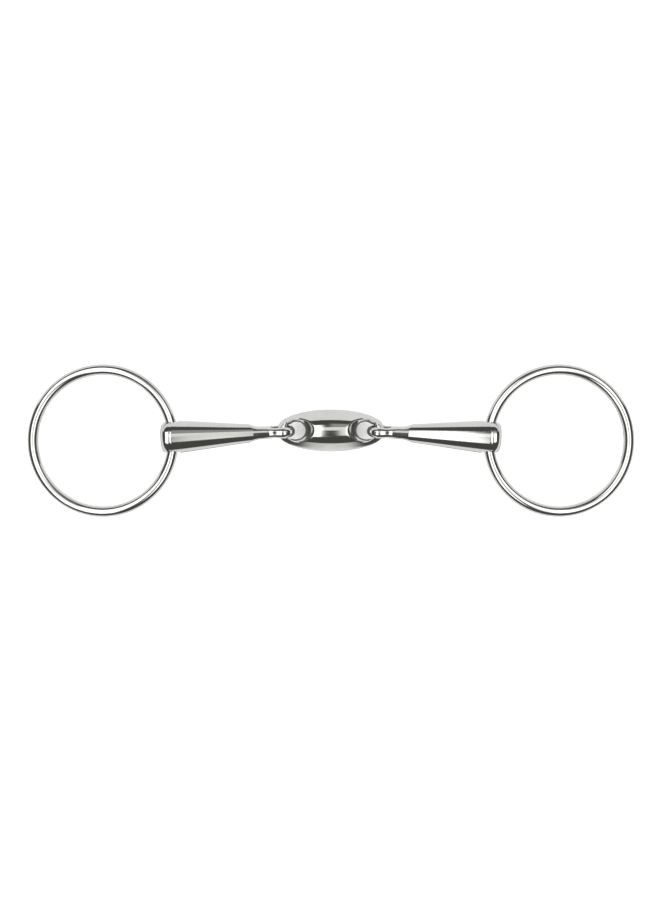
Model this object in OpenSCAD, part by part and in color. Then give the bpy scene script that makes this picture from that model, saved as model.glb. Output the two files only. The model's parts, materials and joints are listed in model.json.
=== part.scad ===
// Loose-ring snaffle bit with a double-jointed mouthpiece.
// It lies flat: the mouthpiece runs along X, the floor is z = 0, and the origin is on the floor midway
// between the ring centres. All five pieces are free forgings that are threaded through each other.

/* [Rings] */
// Outside diameter of a loose ring
ring_outside_d = 65.5; // [60:0.5:75]
// Diameter of the round wire that the rings are bent from
ring_wire_d = 4.5; // [4:0.1:5]

/* [Mouthpiece] */
// Distance between the two ring holes, centre to centre
mouth_w = 136; // [120:1:145]
// Angle by which each cannon runs back from the straight line through the link
cannon_droop = 2.8; // [0:0.1:5]
// Sideways play that each eye has taken up along its end bar
eye_side_play = 0.5; // [0:0.1:0.6]

/* [Cannons] */
// Diameter of a cannon where the ring passes through it
cannon_d = 14.4; // [13:0.1:16]
// Diameter of the thin neck next to the eye
neck_d = 7.6; // [7:0.1:8.2]
// Length over which the barrel tapers from the ring hole to the neck
taper_l = 36; // [32:0.5:38]
// Share of the taper that eases in and out like a cosine, the rest being straight
taper_ease = 0.15; // [0:0.05:1]
// Diameter of the ring hole
ring_hole_d = 6; // [5.9:0.05:6.6]
// Rounding where the ring hole comes out of the barrel
ring_hole_round = 0.8; // [0.4:0.1:1.2]
// Distance from the ring hole's axis to the tip of the domed end
hole_to_tip = 4.8; // [4.4:0.1:6]
// Length of the domed end
dome_l = 4.4; // [3.5:0.1:4.4]

/* [Eyes] */
// Width of the band that an eye is bent from, along the end bar
eye_w = 5.2; // [4.8:0.1:5.2]
// Thickness of the band
eye_t = 2.5; // [2.2:0.1:2.6]
// Radius of both round ends of the hole in an eye
eye_inner_r = 2.7; // [2.6:0.05:2.8]
// Distance by which the hole in an eye is longer than it is high
eye_slack = 2.2; // [1.5:0.1:3]
// Angle by which an eye is set round the cannon's axis from the ring hole
eye_lean = 10; // [0:1:10]

/* [Link] */
// Length of the centre link
link_l = 45.5; // [42:0.5:48]
// Width of the centre link
link_w = 17.7; // [16.5:0.1:19]
// Thickness of the centre link
link_t = 14.4; // [13:0.1:14.4]
// Diameter of the narrowest part of each hole through the link
link_hole_d = 7.4; // [7:0.1:7.8]
// Slope of the flared wall of each hole, as run over rise
link_flare = 0.62; // [0.4:0.02:0.7]
// Diameter of the round end bar that an eye turns on
end_bar_d = 4.3; // [4:0.1:4.4]

/* [Hidden] */

steel = [0.78, 0.79, 0.78];
fine = 96;
ring_fine = 180;
profile_steps = 20;
mouth_steps = 6;

ring_r = (ring_outside_d - ring_wire_d) / 2;
cannon_r = cannon_d / 2;
neck_r = neck_d / 2;
ring_hole_r = ring_hole_d / 2;
dome_power = 3.2;

// Everything that turns has its centre at the height of the thick cannon ends, which rest on the floor.
axis_z = cannon_r;
bar_r = end_bar_d / 2;
bar_x = link_l / 2 - bar_r;
bar_clear = 0.1;
link_hole_x = bar_x - bar_r - bar_clear - link_hole_d / 2;
cannon_l = (mouth_w / 2 - bar_x) / cos(cannon_droop);

// The ring curves inside its hole, so its turning axis is put halfway through that curve's depth.
ring_sag = ring_r - sqrt(pow(ring_r, 2) - pow(cannon_r, 2));
hole_to_ring = ring_r - ring_sag / 2;
ring_drop = axis_z - ring_wire_d / 2;
ring_tilt = asin(ring_drop / (hole_to_ring + ring_r));

// The origin is level with the ring centres, and the link sits further forward.
ring_from_bar = cannon_l + hole_to_ring * cos(ring_tilt);
link_y = eye_side_play + ring_from_bar * sin(cannon_droop);

eye_outer_r = eye_inner_r + eye_t;
eye_mid_r = eye_inner_r + eye_t / 2;
neck_x = cannon_l - taper_l;
flat_x = neck_x - 1.5;
shoulder_l = 3.5;
// The neck is this much lower and narrower than the eye, so that it ends inside the band.
neck_sink = 0.6;
neck_half_w = eye_w / 2 - 0.1;
neck_start_r = eye_mid_r + 0.2;

// Room beside the leaning eye, and beyond its outside, for it to turn on the end bar.
groove_half_w = 4.1;
groove_r = eye_outer_r + 0.6;
flare_round = 1.2;

// The link's section is the overlap of two round bodies whose axes lie this far above and below its middle.
lens_shift = (pow(link_w / 2, 2) - pow(link_t / 2, 2)) / link_t;

// Radius of the barrel at a distance x from the end bar, from the eye to the ring hole.
function barrel_r(x) =
    let (s = min(max((cannon_l - x) / taper_l, 0), 1))
    let (eased = (1 + cos(180 * s)) / 2)
    neck_r + (cannon_r - neck_r) * (taper_ease * eased + (1 - taper_ease) * (1 - s));

// Radius of the neck, which swells from the barrel until it runs into the back of the eye.
function neck_swell_r(x) =
    let (s = min(max((x - eye_slack) / (neck_x - eye_slack), 0), 1))
    neck_r + (eye_outer_r - neck_sink - neck_r) * (1 + cos(180 * s)) / 2;

// Radius of the domed end at a share u of its length.
function dome_r(u) = cannon_r * pow(1 - pow(u, dome_power), 1 / dome_power);

// Half thickness of the link at a distance x from its middle.
function link_half_t(x) = link_t / 2 * sqrt(max(1 - pow(2 * x / link_l, 2), 0));

// Radius of a link hole at a height z from the link's middle.
function link_hole_r(z) =
    link_hole_d / 2 + link_flare * (sqrt(pow(z, 2) + pow(flare_round, 2)) - flare_round);

// Turns an outline drawn as (radius, distance) about the Z axis into a body round the X axis.
module turn_about_x() {
    rotate([0, 90, 0])
        rotate_extrude($fn = fine)
            children();
}

// Turns an outline drawn as (radius, distance) into a body round the Y axis.
module turn_about_y(start = 0, angle = 360) {
    rotate([-90, 0, 0])
        rotate_extrude(start = start, angle = angle, $fn = fine)
            children();
}

// Section of the band that the eye is bent from: flat inside and outside, with fully round edges.
module band_section() {
    square([eye_t, eye_w - eye_t], center = true);
    for (side = [-1, 1])
        translate([0, side * (eye_w - eye_t) / 2])
            circle(d = eye_t, $fn = fine);
}

// One bent end of the eye's band.
module band_bend(start) {
    turn_about_y(start = start, angle = 180)
        translate([eye_mid_r, 0])
            band_section();
}

// The eye: two bends joined by two straight limbs, round a hole that is a little longer than high.
module eye_loop() {
    band_bend(90);
    translate([eye_slack, 0, 0])
        band_bend(-90);
    for (side = [-1, 1])
        translate([0, 0, side * eye_mid_r])
            rotate([90, 90, 90])
                linear_extrude(eye_slack)
                    band_section();
}

// Outline of the neck, the barrel and the domed end, drawn as (radius, distance from the end bar).
// The dome stops one step short of a point, so its tip is a very small flat.
module cannon_profile() {
    dome_x = cannon_l + hole_to_tip - dome_l;
    last_u = sin(90 * (profile_steps - 1) / profile_steps);
    neck = [for (i = [0 : profile_steps - 1])
        let (x = eye_slack + (neck_x - eye_slack) * i / profile_steps)
        [neck_swell_r(x), x]];
    barrel = [for (i = [0 : profile_steps])
        let (x = neck_x + taper_l * i / profile_steps)
        [barrel_r(x), x]];
    dome = [for (i = [0 : profile_steps - 1])
        let (u = sin(90 * i / profile_steps))
        [dome_r(u), dome_x + dome_l * u / last_u]];
    polygon(concat([[0, eye_slack]], neck, barrel, dome, [[0, dome_x + dome_l]]));
}

// Plan of the flattened neck, which widens in two curved shoulders until it is clear of the barrel.
module neck_plan() {
    end_x = cannon_l + cannon_d;
    side = [for (i = [0 : profile_steps])
        let (s = i / profile_steps)
        [flat_x + shoulder_l * s, neck_half_w + (cannon_r - neck_half_w) * (1 - cos(90 * s))]];
    back = [for (i = [profile_steps : -1 : 0]) [side[i].x, -side[i].y]];
    polygon(concat(
        [[eye_slack, neck_half_w]], side, [[end_x, cannon_d], [end_x, -cannon_d]], back,
        [[eye_slack, -neck_half_w]]));
}

// Neck and barrel in one, without the ring hole, ending inside the band of the eye.
module cannon_body() {
    difference() {
        intersection() {
            turn_about_x()
                cannon_profile();
            linear_extrude(2 * cannon_d, center = true)
                neck_plan();
        }
        translate([eye_slack, 0, 0])
            rotate([90, 0, 0])
                cylinder(r = neck_start_r, h = cannon_d, center = true, $fn = fine);
    }
}

// Cutter for the ring hole, whose wall curves outwards to a wider mouth on both sides.
module ring_hole() {
    mouth = [for (i = [0 : mouth_steps])
        let (a = 90 * i / mouth_steps)
        [ring_hole_r + ring_hole_round * (1 - cos(a)), cannon_r - ring_hole_round * (1 - sin(a))]];
    far_mouth = [for (i = [mouth_steps : -1 : 0]) [mouth[i].x, -mouth[i].y]];
    rim_r = ring_hole_r + ring_hole_round;
    turn_about_y()
        polygon(concat(
            [[0, -cannon_d], [rim_r, -cannon_d]], far_mouth, mouth, [[rim_r, cannon_d], [0, cannon_d]]));
}

// One cannon along +X, with its origin on the axis of the end bar that its eye is closed round.
module cannon() {
    color(steel)
        difference() {
            rotate([eye_lean, 0, 0]) {
                eye_loop();
                cannon_body();
            }
            translate([cannon_l, 0, 0])
                ring_hole();
        }
}

// Moves a part from the end bar on the right to its place on the cannon's axis.
module along_cannon() {
    translate([bar_x, link_y - eye_side_play, axis_z])
        rotate([0, 0, -cannon_droop])
            children();
}

module cannon_right() {
    along_cannon()
        cannon();
}

module cannon_left() {
    mirror([1, 0, 0])
        cannon_right();
}

// The ring tips outwards about its hole until its far side lies on the floor.
module ring_right() {
    color(steel)
        along_cannon()
            translate([cannon_l, 0, 0])
                rotate([0, ring_tilt, 0])
                    translate([hole_to_ring, 0, 0])
                        rotate_extrude($fn = ring_fine)
                            translate([ring_r, 0])
                                circle(d = ring_wire_d, $fn = fine);
}

module ring_left() {
    mirror([1, 0, 0])
        ring_right();
}

// Half of the link's outer form: a round body whose axis lies to one side of the link's middle.
module link_half_body(side) {
    outline = [for (i = [-profile_steps : profile_steps])
        let (x = link_l / 2 * sin(90 * i / profile_steps))
        [lens_shift + link_half_t(x), x]];
    translate([0, 0, side * lens_shift])
        turn_about_x()
            polygon(concat([[0, -link_l / 2]], outline, [[0, link_l / 2]]));
}

// Cutter for a link hole, narrowest in the middle and flared to both faces.
module link_hole() {
    wall = [for (i = [-profile_steps : profile_steps])
        let (z = link_t / 2 * i / profile_steps)
        [link_hole_r(z), z]];
    rotate_extrude($fn = fine)
        polygon(concat([[0, -link_t / 2]], wall, [[0, link_t / 2]]));
}

// Cutter that leaves the round end bar and gives the eye room to turn.
module bar_groove() {
    turn_about_y()
        translate([bar_r, -groove_half_w])
            square([groove_r - bar_r, 2 * groove_half_w]);
}

module lozenge() {
    color(steel)
        translate([0, link_y, axis_z])
            difference() {
                intersection() {
                    link_half_body(1);
                    link_half_body(-1);
                }
                for (side = [0, 1])
                    mirror([side, 0, 0]) {
                        translate([link_hole_x, 0, 0])
                            link_hole();
                        translate([bar_x, 0, 0])
                            bar_groove();
                    }
            }
}

lozenge();
cannon_left();
cannon_right();
ring_left();
ring_right();
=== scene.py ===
# %% [markdown]
# # A loose-ring snaffle bit
# A snaffle bit is five steel forgings that are threaded through each other: an oval link in the middle, two
# tapered cannons whose eyes hook round the link's end bars, and two round-wire rings.
# The engineering model already knows where each joint is, so the first step is to load it. Every piece made
# below is placed from its joints and its boxes, and nothing is fitted by eye.

# %% Load the frame
import json
import math

import bpy
import numpy as np
from mathutils import Matrix, Vector


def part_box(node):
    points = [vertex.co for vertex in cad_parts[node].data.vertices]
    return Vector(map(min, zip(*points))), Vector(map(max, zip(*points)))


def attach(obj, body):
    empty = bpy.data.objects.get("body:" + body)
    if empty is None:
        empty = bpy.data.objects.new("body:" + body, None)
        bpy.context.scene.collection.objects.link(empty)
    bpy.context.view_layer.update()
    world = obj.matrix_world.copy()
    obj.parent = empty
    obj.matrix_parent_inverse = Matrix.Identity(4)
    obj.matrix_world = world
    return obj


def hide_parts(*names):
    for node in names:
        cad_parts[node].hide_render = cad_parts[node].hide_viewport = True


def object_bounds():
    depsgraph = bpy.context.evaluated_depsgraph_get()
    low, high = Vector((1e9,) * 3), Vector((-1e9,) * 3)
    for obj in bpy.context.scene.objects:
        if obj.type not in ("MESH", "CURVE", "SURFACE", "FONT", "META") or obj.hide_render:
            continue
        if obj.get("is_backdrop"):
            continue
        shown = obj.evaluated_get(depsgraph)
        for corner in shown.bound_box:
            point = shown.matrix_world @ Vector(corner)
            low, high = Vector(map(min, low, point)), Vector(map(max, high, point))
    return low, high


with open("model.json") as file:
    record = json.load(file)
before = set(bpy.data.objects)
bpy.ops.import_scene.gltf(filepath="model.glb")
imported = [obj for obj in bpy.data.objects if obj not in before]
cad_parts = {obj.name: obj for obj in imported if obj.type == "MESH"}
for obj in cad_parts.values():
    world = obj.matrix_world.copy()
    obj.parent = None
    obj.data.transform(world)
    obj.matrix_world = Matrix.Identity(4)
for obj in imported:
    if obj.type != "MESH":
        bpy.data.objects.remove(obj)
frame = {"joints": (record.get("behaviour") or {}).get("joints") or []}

MM = 0.001
cad_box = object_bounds()
joints = {joint["name"]: joint for joint in frame["joints"]}

# %% [markdown]
# ## Where things are
# The bit is symmetrical, so only its right half is measured. The end bar that a cannon folds on is the fold
# joint's place, and the ring hole is the swivel joint's place. The line between them is the cannon's own
# axis. It runs back a little from the link, and a matrix that turns +X on to it lets the cannon be drawn
# lying straight along X and put down afterwards.

# %% Measure the cannon's axis
end_bar = Vector(joints["fold_right"]["pos_m"])
ring_hole = Vector(joints["swivel_right"]["pos_m"])
cannon_l = (ring_hole - end_bar).length
cannon_turn = math.atan2(ring_hole.y - end_bar.y, ring_hole.x - end_bar.x)
cannon_place = Matrix.Translation(end_bar) @ Matrix.Rotation(cannon_turn, 4, "Z")
flip_left = Matrix.Scale(-1, 4, (1, 0, 0))
turned_by = math.degrees(cannon_turn)
print(f"cannon {cannon_l / MM:.1f} mm from end bar to ring hole, turned {turned_by:.1f} degrees")

# %% Measure the ring
ring_lo, ring_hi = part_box("ring_right")
ring_centre = (ring_lo + ring_hi) / 2
ring_out = (ring_centre - ring_hole).normalized()
ring_outer_r = (ring_hi.y - ring_lo.y) / 2
ring_rise = (ring_hi.z - ring_lo.z) / 2
ring_r = (ring_outer_r - ring_rise) / (1 + ring_out.z)
wire_r = ring_outer_r - ring_r
print(f"ring {2 * ring_outer_r / MM:.1f} mm across, wire {2 * wire_r / MM:.2f} mm")

# %% Measure the link
link_lo, link_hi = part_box("lozenge")
link_centre = (link_lo + link_hi) / 2
link_half = (link_hi - link_lo) / 2
bar_x = end_bar.x
bar_r = link_half.x - bar_x
print("link", [round(2 * side / MM, 1) for side in link_half], f"mm, end bar {2 * bar_r / MM:.1f} mm")

# %% [markdown]
# ## The camera
# The bit is looked at from straight above, from far enough away that nothing looks nearer than anything
# else. A long lens does that. Its focal length follows from the height above the bit and the stretch of
# table that has to fill the tall frame: focal length over sensor is the same as height over stretch.

# %% Camera
CAMERA_HEIGHT = 0.9
VIEW_TALL = 0.3852
VIEW_CENTRE = (-0.0004, -0.0041)
camera_data = bpy.data.cameras.new("overhead")
camera_data.sensor_width = 36
camera_data.lens = camera_data.sensor_width * CAMERA_HEIGHT / VIEW_TALL
camera = bpy.data.objects.new("overhead", camera_data)
camera.location = (*VIEW_CENTRE, end_bar.z + CAMERA_HEIGHT)
bpy.context.scene.collection.objects.link(camera)
bpy.context.scene.camera = camera
bpy.context.scene.view_settings.view_transform = "Standard"
print(f"lens {camera_data.lens:.0f} mm")

# %% [markdown]
# ## Round wire rings
# A loose ring is a length of round bar, rolled into a hoop, butt welded and polished until the joint is
# gone. A torus primitive would be too perfect. Here the hoop is swept in code: a small circle is carried
# round a large one, and both are let wander by a few hundredths of a millimetre, as rolled and hand-polished
# wire does. That wander is what breaks up the long reflections.

# %% Helpers for a closed skin and a smooth piece
def hoop_faces(rows, columns):
    """Quads between neighbouring rows of points, closed both ways. Here they face into the wire."""
    faces = []
    for i in range(rows):
        for j in range(columns):
            right, up = (j + 1) % columns, (i + 1) % rows
            faces.append((i * columns + j, i * columns + right, up * columns + right, up * columns + j))
    return faces


def new_piece(name, points, faces, place=None, normals=None):
    """Makes a smooth-shaded mesh object, with the points put in place and given exact normals."""
    place = place or Matrix.Identity(4)
    mirrored = place.determinant() < 0
    mesh = bpy.data.meshes.new(name)
    mesh.from_pydata(points, [], [face[::-1] for face in faces] if mirrored else faces)
    mesh.transform(place)
    mesh.shade_smooth()
    if normals is not None:
        turn = place.to_3x3().inverted().transposed()
        mesh.normals_split_custom_set_from_vertices([(turn @ Vector(n)).normalized() for n in normals])
    mesh.validate(clean_customdata=False)
    piece = bpy.data.objects.new(name, mesh)
    bpy.context.scene.collection.objects.link(piece)
    return piece


# %% Sweep the hoop
HOOP_STEPS = 288
WIRE_SIDES = 36
WIRE_WANDER = 0.03 * MM
WIRE_WAVES = 7
WIRE_BEATS = 4
HOOP_WANDER = 0.06 * MM
HOOP_WAVES = 3
RIGHT_PHASE = 0.4
LEFT_PHASE = 2.1


def hoop_points(phase):
    """Points of a hoop of round wire about the Z axis. The phase shifts its wander."""
    points = []
    for i in range(HOOP_STEPS):
        a = 2 * math.pi * i / HOOP_STEPS
        bend_r = ring_r - HOOP_WANDER * (1 + math.cos(HOOP_WAVES * a + phase)) / 2
        wave = math.sin(WIRE_WAVES * a + phase) * math.cos(WIRE_BEATS * a)
        wire = wire_r - WIRE_WANDER * (1 + wave) / 2
        for j in range(WIRE_SIDES):
            b = 2 * math.pi * j / WIRE_SIDES
            reach = bend_r + wire * math.cos(b)
            points.append((reach * math.cos(a), reach * math.sin(a), wire * math.sin(b)))
    return points


# %% Lay the two rings in their holes
ring_side = Vector((0, 0, 1)).cross(ring_out).normalized()
ring_up = ring_out.cross(ring_side)
ring_turn = Matrix((ring_out, ring_side, ring_up)).transposed().to_4x4()
ring_place = Matrix.Translation(ring_centre) @ ring_turn
skin = hoop_faces(HOOP_STEPS, WIRE_SIDES)
rings = {
    "right": new_piece("ring_right_wire", hoop_points(RIGHT_PHASE), skin, ring_place),
    "left": new_piece("ring_left_wire", hoop_points(LEFT_PHASE), skin, flip_left @ ring_place),
}
for side, piece in rings.items():
    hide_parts(f"ring_{side}")
    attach(piece, f"ring_{side}")
print("tilt of the rings:", round(math.degrees(math.asin(-ring_out.z)), 1), "degrees")

# %% [markdown]
# ## Forged shapes as distance formulas
# A forging has no sharp corners: the round barrel melts into a flat neck, and the neck into a loop. Joining
# primitives with booleans would leave hard seams, and on polished steel every seam shows in the reflections.
# So each forging is written as a formula that is negative inside the steel and positive outside, in
# millimetres. Two shapes are joined or cut by taking the smaller or the larger of two formulas, and a
# rounded version of that choice gives a fillet of a known radius.

# %% Rounded joins and cuts
def rounded_max(a, b, r):
    """Where both shapes overlap, with an edge of radius r."""
    over_a, over_b = np.maximum(a + r, 0), np.maximum(b + r, 0)
    return np.minimum(np.maximum(a, b), -r) + np.hypot(over_a, over_b)


def rounded_min(a, b, r):
    """Both shapes together, with a fillet of radius r in the corner."""
    return -rounded_max(-a, -b, r)


def ease(s):
    """A smooth step from 0 to 1."""
    s = np.clip(s, 0, 1)
    return (1 - np.cos(np.pi * s)) / 2


print("corner of two walls 1 mm inside an edge of radius 1:", rounded_max(np.array(-1.0), np.array(-1.0), 1))

# %% [markdown]
# The formula becomes a mesh by a method called surface nets. Space is cut into small cells, and each cell
# that the surface runs through gets one point, in the middle of its crossings. Points of neighbouring cells
# are joined into quads. The points are then evened out and pushed on to the exact surface, and the formula's
# slope gives each one an exact normal, so the long reflections stay smooth at any cell size.

# %% Crossings of a grid
def cell_points(value):
    """One point in each cell that the surface crosses, in cell units, and the cells' running numbers."""
    cells = tuple(n - 1 for n in value.shape)
    grid = np.stack(np.meshgrid(*map(np.arange, value.shape), indexing="ij"), axis=-1).astype(float)
    total, count = np.zeros((*cells, 3)), np.zeros(cells)
    for axis in range(3):
        near, far = [slice(None)] * 3, [slice(None)] * 3
        near[axis], far[axis] = slice(0, -1), slice(1, None)
        a, b = value[tuple(near)], value[tuple(far)]
        crossing = (a < 0) != (b < 0)
        point = grid[tuple(near)].copy()
        point[..., axis] += a / np.where(crossing, a - b, 1)
        point *= crossing[..., None]
        u, v = (axis + 1) % 3, (axis + 2) % 3
        for du in (0, 1):
            for dv in (0, 1):
                part = [slice(None)] * 3
                part[u], part[v] = slice(du, du + cells[u]), slice(dv, dv + cells[v])
                total += point[tuple(part)]
                count += crossing[tuple(part)]
    number = np.full(cells, -1)
    number[count > 0] = np.arange(np.count_nonzero(count))
    return total[count > 0] / count[count > 0][:, None], number


def cell_quads(value, number):
    """A quad round each grid edge that crosses the surface, facing outwards."""
    quads = []
    for axis in range(3):
        near, far = [slice(None)] * 3, [slice(None)] * 3
        near[axis], far[axis] = slice(0, -1), slice(1, None)
        a, b = value[tuple(near)], value[tuple(far)]
        at = np.argwhere((a < 0) != (b < 0))
        u, v = np.eye(3, dtype=int)[(axis + 1) % 3], np.eye(3, dtype=int)[(axis + 2) % 3]
        corners = [at - u - v, at - v, at, at - u]
        quad = np.stack([number[tuple(c.T)] for c in corners], axis=1)
        outwards = a[tuple(at.T)] < 0
        quads.append(np.where(outwards[:, None], quad, quad[:, ::-1]))
    return np.concatenate(quads)


# %% Even out and settle the points
SLOPE_STEP = 0.01
SETTLE_PASSES = 4
LEAST_STEEPNESS = 0.05
LEAST_MOVE = 1e-9


def slope(shape, points):
    """Gradient of a shape's formula at some points."""
    steps = np.eye(3) * SLOPE_STEP
    ahead = [shape(*(points + step).T) - shape(*(points - step).T) for step in steps]
    return np.stack(ahead, axis=1) / (2 * SLOPE_STEP)


def settle(shape, points, most):
    """Moves points on to the surface along the gradient, each pass by no more than a given step."""
    for _ in range(SETTLE_PASSES):
        gradient = slope(shape, points)
        steepness = np.maximum((gradient**2).sum(axis=1), LEAST_STEEPNESS)
        move = -(shape(*points.T) / steepness)[:, None] * gradient
        length = np.maximum(np.linalg.norm(move, axis=1), LEAST_MOVE)
        points = points + move * np.minimum(1, most / length)[:, None]
    return points


def even_out(points, quads):
    """Moves each point half way to the middle of its neighbours."""
    edges = np.concatenate([quads[:, [i, (i + 1) % 4]] for i in range(4)])
    total, count = np.zeros_like(points), np.zeros(len(points))
    np.add.at(total, edges[:, 0], points[edges[:, 1]])
    np.add.at(count, edges[:, 0], 1)
    return (points + total / count[:, None]) / 2


# %% From formula to mesh
CELL = 0.26
CELLS_BEFORE = 2
CELLS_AFTER = 3
EVEN_PASSES = 3


def forge(name, shape, low, high, place):
    """Meshes a formula in millimetres inside a box, and puts it in place in metres."""
    before, after = CELLS_BEFORE * CELL, CELLS_AFTER * CELL
    axes = [np.arange(a - before, b + after, CELL) for a, b in zip(low, high)]
    value = shape(*np.meshgrid(*axes, indexing="ij"))
    points, number = cell_points(value)
    quads = cell_quads(value, number)
    points = points * CELL + [axis[0] for axis in axes]
    for _ in range(EVEN_PASSES):
        points = settle(shape, even_out(points, quads), CELL / 2)
    normals = slope(shape, points)
    to_metres = Matrix.Diagonal((MM, MM, MM, 1))
    piece = new_piece(name, points.tolist(), quads.tolist(), place @ to_metres, normals.tolist())
    worst = np.abs(shape(*points.T)).max()
    print(f"{name}: {len(quads)} quads, farthest point {worst:.4f} mm off its surface")
    return piece


# %% [markdown]
# ## The cannons
# A cannon is thick and round at the ring, where it fills the corner of the horse's mouth, and thin at the
# middle. From its end bar outwards it has a loop bent from flat bar, a flat neck, two shoulders, a tapering
# barrel, a cross hole for the ring and a domed end.
# The barrel and the dome are turned shapes, so their formula needs only the distance from the axis. The dome
# is a superellipse, which is fuller than half a ball.

# %% Sizes of the turned part
CANNON_R = end_bar.z / MM
NECK_R = 3.8
TAPER_L = 35
TAPER_EASE = 0.15
DOME_L = 4.4
DOME_POWER = 3.2
HOLE_TO_TIP = 4.8
LINE_DEPTH = 0.07
LINE_W = 0.3
hole_x = cannon_l / MM
neck_x = hole_x - TAPER_L
dome_x = hole_x + HOLE_TO_TIP - DOME_L


def turned(x, off_axis):
    """Barrel and domed end about the X axis, with the fine turned line where the dome begins."""
    s = np.clip((x - neck_x) / TAPER_L, 0, 1)
    taper_r = NECK_R + (CANNON_R - NECK_R) * (TAPER_EASE * ease(s) + (1 - TAPER_EASE) * s)
    along_dome = np.maximum(x - dome_x, 0) / DOME_L
    share = ((off_axis / CANNON_R) ** DOME_POWER + along_dome**DOME_POWER) ** (1 / DOME_POWER)
    line = LINE_DEPTH * np.exp(-(((x - dome_x) / LINE_W) ** 2))
    return np.where(x < dome_x, off_axis - taper_r, CANNON_R * (share - 1)) + line


# %% [markdown]
# The loop and the neck are flattened out of the same round bar. Seen from the side there is a round eye that
# drops to a lower neck behind it, and a slot through it that is longer than high. Seen from above, two flats
# run along the sides and end in curved shoulders, where the bar is round again.
# The loop leans a little about the cannon's axis, as hand-bent loops do.

# %% Sizes of the loop and the neck
EYE_R = 5.2
SLOT_R = 2.7
SLOT_SLACK = 2.2
FLAT_HALF_W = 2.6
FLAT_END_X = 9.5
SHOULDER_L = 7.0
EYE_LEAN = math.radians(10)
EYE_FILLET_R = 1.7
EYE_EDGE_R, SHOULDER_EDGE_R = 2.2, 1.0
SLOT_EDGE_R = 0.9


def eye_side(x, off_axis):
    """Loop and neck seen from the side: a round eye that runs into a thinner neck."""
    return rounded_min(np.hypot(x, off_axis) - EYE_R, np.maximum(off_axis - NECK_R, -x), EYE_FILLET_R)


def slot(x, z):
    """The slot that the end bar sits in: two round ends and the straight stretch between them."""
    return np.hypot(x - np.clip(x, 0, SLOT_SLACK), z) - SLOT_R


# %% The ring hole and the whole cannon
RING_HOLE_R = 3.0
RING_HOLE_EDGE_R = 0.8


def cannon_shape(x, y, z):
    """The whole forging, lying along +X from the middle of its end bar."""
    off_axis = np.hypot(y, z)
    lean_y = y * math.cos(EYE_LEAN) + z * math.sin(EYE_LEAN)
    lean_z = z * math.cos(EYE_LEAN) - y * math.sin(EYE_LEAN)
    shoulder = np.maximum(x - FLAT_END_X, 0) / SHOULDER_L
    flat = np.abs(lean_y) - FLAT_HALF_W - CANNON_R * (1 - np.sqrt(np.maximum(1 - shoulder**2, 0)))
    flat = np.where(x > FLAT_END_X + SHOULDER_L, -CANNON_R, flat)
    edge_r = EYE_EDGE_R + (SHOULDER_EDGE_R - EYE_EDGE_R) * ease((x - SLOT_SLACK) / (FLAT_END_X - SLOT_SLACK))
    round_bar = np.where(x < neck_x, eye_side(x, off_axis), turned(x, off_axis))
    solid = rounded_max(round_bar, flat, edge_r)
    solid = rounded_max(solid, -slot(x, lean_z), SLOT_EDGE_R)
    hole = np.hypot(x - hole_x, z) - RING_HOLE_R
    return rounded_max(solid, -hole, RING_HOLE_EDGE_R)


# %% Mesh both cannons
cannon_box = ((-EYE_R, -CANNON_R, -CANNON_R), (hole_x + HOLE_TO_TIP, CANNON_R, CANNON_R))
cannons = {
    "right": forge("cannon_right_forging", cannon_shape, *cannon_box, cannon_place),
    "left": forge("cannon_left_forging", cannon_shape, *cannon_box, flip_left @ cannon_place),
}
for side, piece in cannons.items():
    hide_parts(f"cannon_{side}")
    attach(piece, f"cannon_{side}")

# %% [markdown]
# ## The link
# The link is a small oval that spreads the pressure on the tongue. Across its middle it is nearly a round
# bar, drawn out at both sides to a soft edge. That is the shape of a string pulled tight round a circle and
# two points, and one cosine gives it: the flat flank is the part of the string that leaves the circle.
# At each end, a hole that flares to both faces leaves a round end bar, and a groove beside it gives the
# cannon's loop room to turn. The groove leans the opposite way to the loop, and at rest an edge of each loop
# reaches about 0.1 mm into the side of its groove.

# %% Sizes of the link
LINK_HALF_L, LINK_HALF_W, LINK_HALF_T = (side / MM for side in link_half)
WAIST_R = 3.7
WAIST_SOFT = 1.2
FLARE = 0.62
BAR_CLEAR = 0.1
GROOVE_HALF_W = 3.15
EYE_PLAY = 0.5
GROOVE_R = EYE_R + 0.6
SIDE_SOFT = 0.25
LEAST_THIN = 1e-3
RIM_R = 0.55
GROOVE_EDGE_R = 0.5
link_bar_x = bar_x / MM
link_bar_r = bar_r / MM
link_hole_x = link_bar_x - link_bar_r - BAR_CLEAR - WAIST_R
lens_shift = (LINK_HALF_W**2 - LINK_HALF_T**2) / (2 * LINK_HALF_T)


def link_body(x, y, z):
    """The oval without its holes."""
    thick = LINK_HALF_T * np.sqrt(np.maximum(1 - (x / LINK_HALF_L) ** 2, LEAST_THIN))
    wide = np.sqrt((thick + lens_shift) ** 2 - lens_shift**2)
    leave = np.arccos(np.clip(thick / (wide + SIDE_SOFT), 0, 1))
    soft_z = np.hypot(z, SIDE_SOFT)
    around = np.arctan2(soft_z, np.abs(y))
    return np.hypot(y, soft_z) * np.cos(np.maximum(leave - around, 0)) - thick


def link_shape(x, y, z):
    """The whole link, about its own middle."""
    x = np.abs(x)
    flare_r = WAIST_R + FLARE * (np.hypot(z, WAIST_SOFT) - WAIST_SOFT)
    hole = (np.hypot(x - link_hole_x, y) - flare_r) / math.hypot(1, FLARE)
    from_bar = np.hypot(x - link_bar_x, z)
    beside_eye = np.abs(y + EYE_PLAY - z * math.tan(EYE_LEAN)) - GROOVE_HALF_W
    groove = rounded_max(np.maximum(link_bar_r - from_bar, from_bar - GROOVE_R), beside_eye, GROOVE_EDGE_R)
    solid = rounded_max(link_body(x, y, z), -hole, RIM_R)
    return rounded_max(solid, -groove, GROOVE_EDGE_R)


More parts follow.
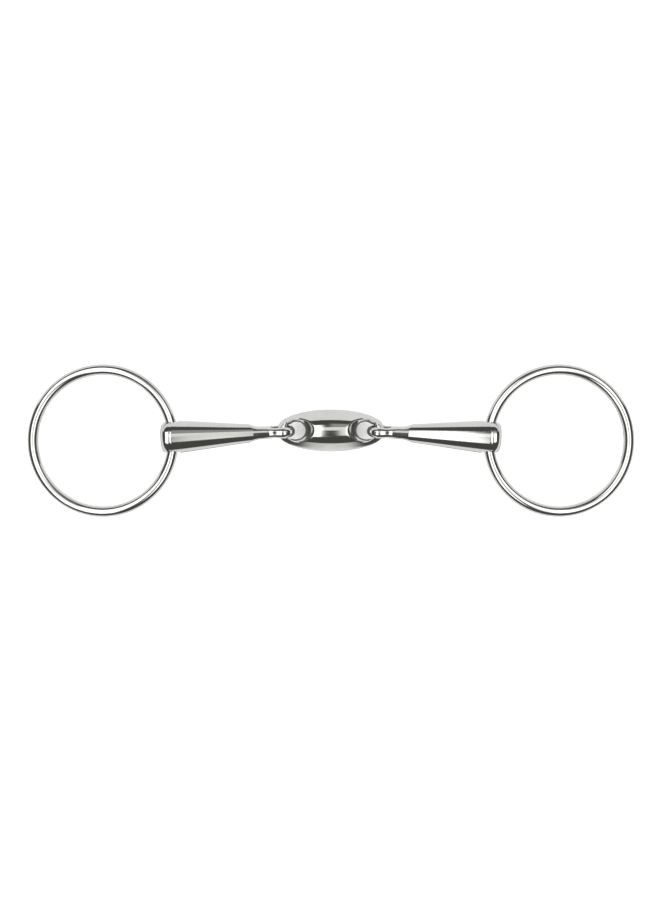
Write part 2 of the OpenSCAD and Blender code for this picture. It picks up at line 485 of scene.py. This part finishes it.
# %% Mesh the link
link_size = np.array([LINK_HALF_L, LINK_HALF_W, LINK_HALF_T])
link = forge("lozenge_forging", link_shape, -link_size, link_size, Matrix.Translation(link_centre))
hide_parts("lozenge")
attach(link, "link")

# %% [markdown]
# ## Polished stainless steel
# Polished steel has almost no colour of its own: it shows the room. What tells it from chrome is that the
# polish isn't even. A buffing wheel leaves faint lines, old scratches run across them, and each ring is
# duller where it rubs in its hole.
# The lines, the scratches and the uneven polish are noise in the piece's own coordinates, and the rubbed
# place is a distance from the ring hole. All of them go into the roughness. The noise also goes into a very
# shallow bump, and the colour changes by only a few percent.

# %% A helper for node trees
def node(tree, kind, inputs=None, **settings):
    """Adds a node, sets its properties, and sets or links its inputs by name."""
    made = tree.nodes.new(kind)
    for key, setting in settings.items():
        setattr(made, key, setting)
    for key, value in (inputs or {}).items():
        if isinstance(value, bpy.types.NodeSocket):
            tree.links.new(value, made.inputs[key])
        else:
            made.inputs[key].default_value = value
    return made


def remap(tree, value, low, high, to_low, to_high):
    """Spreads a value's range from low to high over another range."""
    inputs = {"Value": value, "From Min": low, "From Max": high, "To Min": to_low, "To Max": to_high}
    return node(tree, "ShaderNodeMapRange", inputs).outputs["Result"]


def total(tree, a, b, operation="ADD"):
    """Adds two values, or combines them in another way."""
    return node(tree, "ShaderNodeMath", {0: a, 1: b}, operation=operation).outputs["Value"]


# %% The steel
STEEL_COLOUR = (0.63, 0.63, 0.615, 1)
WARM_COLOUR = (0.60, 0.595, 0.575, 1)
POLISH = 0.075
BEST_POLISH, WORST_POLISH = POLISH * 0.75, POLISH * 1.35
MIDDLE_NOISE = (0.3, 0.7)
CLOUD_SCALE = 160
CLOUD_TINT = (0.35, 0.65)
LINE_SCALE = 2700
LINE_STRETCH = 0.03
LINE_ROUGH, LINE_HEIGHT = 0.03, 0.04
SCRATCH_SCALE = 1300
SCRATCH_TURN = (0.3, 0.2, 0.9)
SCRATCH_STRETCH = (0.05, 1, 1)
SCRATCH_SHARE = (0.70, 0.78)
SCRATCH_ROUGH, SCRATCH_HEIGHT = 0.08, 0.08
RUB_CORE = 0.6
RUB_ROUGH = 0.12
BUMP_STRENGTH = 0.35
BUMP_DEPTH = 0.02 * MM
ALONG_X, ALONG_Z = 0, 2


def polished_steel(name, lines_along, rub=None, rub_r=0.0):
    """Polished steel whose buffing lines run along one axis, duller round a rubbed place."""
    material = bpy.data.materials.new(name)
    material.use_nodes = True
    tree = material.node_tree
    place = node(tree, "ShaderNodeTexCoord").outputs["Object"]
    clouds = node(tree, "ShaderNodeTexNoise", {"Vector": place, "Scale": CLOUD_SCALE, "Detail": 3})
    stretch = tuple(LINE_STRETCH if i == lines_along else 1 for i in range(3))
    drawn = node(tree, "ShaderNodeMapping", {"Vector": place, "Scale": stretch}).outputs["Vector"]
    lines = node(tree, "ShaderNodeTexNoise", {"Vector": drawn, "Scale": LINE_SCALE, "Detail": 2})
    slant = {"Vector": place, "Rotation": SCRATCH_TURN, "Scale": SCRATCH_STRETCH}
    crossed = node(tree, "ShaderNodeMapping", slant).outputs["Vector"]
    scratch = node(tree, "ShaderNodeTexNoise", {"Vector": crossed, "Scale": SCRATCH_SCALE, "Detail": 1})
    fine_scratch = remap(tree, scratch.outputs["Fac"], *SCRATCH_SHARE, 0, 1)
    rough = remap(tree, clouds.outputs["Fac"], *MIDDLE_NOISE, BEST_POLISH, WORST_POLISH)
    rough = total(tree, rough, remap(tree, lines.outputs["Fac"], *MIDDLE_NOISE, 0, LINE_ROUGH))
    rough = total(tree, rough, total(tree, fine_scratch, SCRATCH_ROUGH, "MULTIPLY"))
    tint = remap(tree, clouds.outputs["Fac"], *CLOUD_TINT, 0, 1)
    if rub is not None:
        away = node(tree, "ShaderNodeVectorMath", {0: place, 1: rub}, operation="DISTANCE").outputs["Value"]
        worn = remap(tree, away, rub_r * RUB_CORE, rub_r, 1, 0)
        rough = total(tree, rough, total(tree, worn, RUB_ROUGH, "MULTIPLY"))
        tint = total(tree, tint, worn, "MAXIMUM")
    blend = {"Factor": tint, "A": STEEL_COLOUR, "B": WARM_COLOUR}
    colour = node(tree, "ShaderNodeMix", blend, data_type="RGBA")
    line_height = total(tree, lines.outputs["Fac"], LINE_HEIGHT, "MULTIPLY")
    height = total(tree, clouds.outputs["Fac"], line_height)
    height = total(tree, height, total(tree, fine_scratch, SCRATCH_HEIGHT, "MULTIPLY"), "SUBTRACT")
    relief = {"Height": height, "Strength": BUMP_STRENGTH, "Distance": BUMP_DEPTH}
    bump = node(tree, "ShaderNodeBump", relief)
    shader = tree.nodes["Principled BSDF"]
    shader.inputs["Metallic"].default_value = 1
    tree.links.new(colour.outputs["Result"], shader.inputs["Base Color"])
    tree.links.new(rough, shader.inputs["Roughness"])
    tree.links.new(bump.outputs["Normal"], shader.inputs["Normal"])
    return material


# %% Give each piece its steel
HOLE_RUB_R = 9 * MM
for side, sign in (("right", 1), ("left", -1)):
    rub = (sign * ring_hole.x, ring_hole.y, ring_hole.z)
    rings[side].data.materials.append(polished_steel(f"steel_ring_{side}", ALONG_Z, rub, HOLE_RUB_R))
    cannons[side].data.materials.append(polished_steel(f"steel_cannon_{side}", ALONG_X))
link.data.materials.append(polished_steel("steel_lozenge", ALONG_X))
print("materials:", [material.name for material in bpy.data.materials])

# %% [markdown]
# ## The table and the light
# Polished steel is lit by what it mirrors, so the light is drawn as a picture of a dark studio all round the
# bit. Straight above hang two soft lights with the dark shape of an onlooker between them: a strong one on
# the left, and a weaker one on the right that is brighter far out and has a dim strip behind it. Low down at
# the back and far below lies the pale table. What is left between them stays dark, and is mirrored as the
# dark bands that draw the shape. The picture is made in the world's nodes from the direction alone.
# The table itself is cut down to a sheet under the link and one under the far side of each ring, because a
# whole table would hide the pieces that fold or swing down. These sheets take soft shadows but aren't
# mirrored. So a small grey sheet that shows only in reflections is painted shadow: it stands in for the
# link's own shadow on the table and darkens what the walls of the link's holes mirror. A white backdrop that
# only the camera sees goes on behind and below it all.

# %% Table
TABLE_MARGIN = 9 * MM
TABLE_SWEEP = math.radians(170)
TABLE_STEPS = 48
TABLE_GLOW = 0.1
TABLE_TINT = (1, 1, 0.995, 1)
TABLE_WHITE = 0.9
table_white = bpy.data.materials.new("white_table")
table_white.use_nodes = True
table_shader = table_white.node_tree.nodes["Principled BSDF"]
table_shader.inputs["Base Color"].default_value = (TABLE_WHITE, TABLE_WHITE, TABLE_WHITE, 1)
table_shader.inputs["Roughness"].default_value = 1
table_shader.inputs["Specular IOR Level"].default_value = 0
table_shader.inputs["Emission Color"].default_value = TABLE_TINT
table_shader.inputs["Emission Strength"].default_value = TABLE_GLOW

# %% Cut the table's sheets
sheet_low, sheet_high = link_lo.y - TABLE_MARGIN, link_hi.y + TABLE_MARGIN
table_points = []
for x, y in ((-1, sheet_low), (1, sheet_low), (1, sheet_high), (-1, sheet_high)):
    table_points.append((x * end_bar.x, y, 0))
table_faces = [(0, 1, 2, 3)]
for side in (1, -1):
    start = len(table_points)
    for i in range(TABLE_STEPS + 1):
        a = TABLE_SWEEP * (i / TABLE_STEPS - 0.5)
        for r in (ring_outer_r + TABLE_MARGIN, ring_r - wire_r - TABLE_MARGIN):
            x = side * (ring_centre.x + r * math.cos(a))
            table_points.append((x, ring_centre.y + r * math.sin(a), 0))
    for i in range(TABLE_STEPS):
        here = start + 2 * i
        table_faces.append((here, here + 2, here + 3, here + 1))
table_mesh = bpy.data.meshes.new("table")
table_mesh.from_pydata(table_points, [], table_faces)
table_mesh.materials.append(table_white)
table = bpy.data.objects.new("table", table_mesh)
bpy.context.scene.collection.objects.link(table)
table.visible_glossy = False
table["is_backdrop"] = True

# %% The painted shadow sheet that only reflections show
SHADE_HALF_L = 26 * MM
SHADE_HALF_W = 11 * MM
SHADE_H = 0.1 * MM
SHADE_SIDES = 64
# The sheet's dim grey glow is painted shadow: the link's own shadow on the table, as the holes' walls mirror
# it.
SHADE_GLOW = 0.2
shade_grey = bpy.data.materials.new("painted_shadow_sheet")
shade_grey.use_nodes = True
shade_tree = shade_grey.node_tree
shade_tree.nodes.clear()
shade_glow = node(shade_tree, "ShaderNodeEmission", {"Strength": SHADE_GLOW})
node(shade_tree, "ShaderNodeOutputMaterial", {"Surface": shade_glow.outputs["Emission"]})
shade_points = []
for i in range(SHADE_SIDES):
    a = 2 * math.pi * i / SHADE_SIDES
    shade_points.append((SHADE_HALF_L * math.cos(a), link_centre.y + SHADE_HALF_W * math.sin(a), SHADE_H))
shade_mesh = bpy.data.meshes.new("painted_shadow_sheet")
shade_mesh.from_pydata(shade_points, [], [tuple(range(SHADE_SIDES))])
shade_mesh.materials.append(shade_grey)
shade = bpy.data.objects.new("painted_shadow_sheet", shade_mesh)
bpy.context.scene.collection.objects.link(shade)
for ray in ("camera", "diffuse", "transmission", "shadow"):
    setattr(shade, f"visible_{ray}", False)
shade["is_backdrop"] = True

# %% Backdrop that only the camera sees
BACKDROP_SIDES = 64
BACKDROP_GLOW = 1.1
BACKDROP_R = 3.0
BACKDROP_TOP, BACKDROP_FOOT = 2.5, -1.0
backdrop_white = bpy.data.materials.new("white_backdrop")
backdrop_white.use_nodes = True
backdrop_tree = backdrop_white.node_tree
backdrop_tree.nodes.clear()
backdrop_glow = node(backdrop_tree, "ShaderNodeEmission", {"Strength": BACKDROP_GLOW})
node(backdrop_tree, "ShaderNodeOutputMaterial", {"Surface": backdrop_glow.outputs["Emission"]})
backdrop_points = []
for z in (BACKDROP_FOOT, BACKDROP_TOP):
    for i in range(BACKDROP_SIDES):
        a = 2 * math.pi * i / BACKDROP_SIDES
        backdrop_points.append((BACKDROP_R * math.cos(a), BACKDROP_R * math.sin(a), z))
backdrop_faces = [
    (i, (i + 1) % BACKDROP_SIDES, BACKDROP_SIDES + (i + 1) % BACKDROP_SIDES, BACKDROP_SIDES + i)
    for i in range(BACKDROP_SIDES)
]
backdrop_faces.append(tuple(range(BACKDROP_SIDES)))
backdrop_mesh = bpy.data.meshes.new("backdrop")
backdrop_mesh.from_pydata(backdrop_points, [], backdrop_faces)
backdrop_mesh.materials.append(backdrop_white)
backdrop = bpy.data.objects.new("backdrop", backdrop_mesh)
bpy.context.scene.collection.objects.link(backdrop)
for ray in ("diffuse", "glossy", "transmission", "shadow"):
    setattr(backdrop, f"visible_{ray}", False)
backdrop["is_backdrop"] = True

# %% The directions of the studio
world = bpy.data.worlds.new("studio")
world.use_nodes = True
bpy.context.scene.world = world
sky = world.node_tree
direction = node(sky, "ShaderNodeTexCoord").outputs["Generated"]
to_side, to_back, to_top = node(sky, "ShaderNodeSeparateXYZ", {"Vector": direction}).outputs
from_zenith = total(sky, to_back, to_top, "ARCTAN2")
level = total(sky, total(sky, total(sky, to_side, 2, "POWER"), total(sky, to_back, 2, "POWER")), 0.5, "POWER")
backwards = total(sky, to_back, level, "DIVIDE")
SOFT = 0.035


def rises(value, at, soft=SOFT):
    """A mask that turns on softly where a value passes a mark."""
    inputs = {"Value": value, "From Min": at - soft, "From Max": at + soft}
    return node(sky, "ShaderNodeMapRange", inputs, interpolation_type="SMOOTHSTEP").outputs["Result"]


def falls(value, at, soft=SOFT):
    """A mask that turns off softly where a value passes a mark."""
    return total(sky, 1, rises(value, at, soft), "SUBTRACT")


def both(*masks):
    """Where all masks are on."""
    result = masks[0]
    for mask in masks[1:]:
        result = total(sky, result, mask, "MULTIPLY")
    return result


# %% Which directions each light fills
LIGHT_SPLIT = -0.1
FAR_RIGHT_SIDE = 0.2
LIGHT_REACH = 0.62
LIGHT_LOWEST = 0.1


def between(front, back):
    """A mask for directions between two angles from the zenith, in degrees towards the back."""
    return both(rises(from_zenith, math.radians(front)), falls(from_zenith, math.radians(back)))


left_light = both(between(-47, 37), falls(to_side, LIGHT_SPLIT))
right_light = both(between(-37, 21), rises(to_side, LIGHT_SPLIT))
far_right = both(between(-40, 30), rises(to_side, FAR_RIGHT_SIDE))
dim_strip = both(between(17, 46), rises(to_side, 0.0))

# %% The onlooker and the pale table
ONLOOKER_HALF_W = 0.095
ONLOOKER_BACK = math.radians(-1)
WIDE_SOFT = 0.06
LOW_BACK_TOP = 0.24
LOW_BACK_SIDE = 0.41
FAR_BELOW_TOP = -0.22
FAR_BELOW_FOOT = -0.88
aside = node(sky, "ShaderNodeMath", {0: to_side}, operation="ABSOLUTE").outputs["Value"]
onlooker = both(falls(aside, ONLOOKER_HALF_W, WIDE_SOFT), falls(from_zenith, ONLOOKER_BACK, WIDE_SOFT))
low_back = both(falls(to_top, LOW_BACK_TOP), rises(backwards, LOW_BACK_SIDE))
far_below = both(falls(to_top, FAR_BELOW_TOP), rises(to_top, FAR_BELOW_FOOT, WIDE_SOFT))
table_low = total(sky, low_back, far_below, "MAXIMUM")

# %% How bright each one is
LEFT_GLOW, RIGHT_GLOW = 2.0, 0.95
FAR_RIGHT_GLOW, DIM_GLOW = 1.2, 0.33
TABLE_LOW_GLOW = 0.95
ROOM_GLOW = 0.085
ROOM_TINT = (0.99, 1, 0.985, 1)
left_part = total(sky, left_light, LEFT_GLOW, "MULTIPLY")
light = total(sky, left_part, total(sky, right_light, RIGHT_GLOW, "MULTIPLY"))
light = total(sky, light, total(sky, dim_strip, DIM_GLOW, "MULTIPLY"))
light = total(sky, light, total(sky, far_right, FAR_RIGHT_GLOW, "MULTIPLY"))
not_onlooker = total(sky, 1, onlooker, "SUBTRACT")
light = both(light, falls(aside, LIGHT_REACH), rises(to_top, LIGHT_LOWEST), not_onlooker)
light = total(sky, light, total(sky, table_low, TABLE_LOW_GLOW, "MULTIPLY"))
light = total(sky, light, ROOM_GLOW)
background = sky.nodes["Background"]
sky.links.new(light, background.inputs["Strength"])
background.inputs["Color"].default_value = ROOM_TINT
print("nodes in the studio's picture:", len(sky.nodes))

# %% Even light for the table's shadow
CEILING_GLOW = 3.0
CEILING_SPREAD = math.radians(120)
sun_data = bpy.data.lights.new("ceiling", "SUN")
sun_data.energy = CEILING_GLOW
sun_data.angle = CEILING_SPREAD
sun = bpy.data.objects.new("ceiling", sun_data)
sun.visible_glossy = False
bpy.context.scene.collection.objects.link(sun)

# %% [markdown]
# Looks must not change a size. The box round everything was kept when the frame was loaded, and the finished
# pieces have to fit in it, so both boxes are written down side by side.

# %% Write both boxes
visual_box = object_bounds()
for name, (low, high) in (("cad", cad_box), ("visual", visual_box)):
    print(name, [round((b - a) / MM, 2) for a, b in zip(low, high)], "mm")
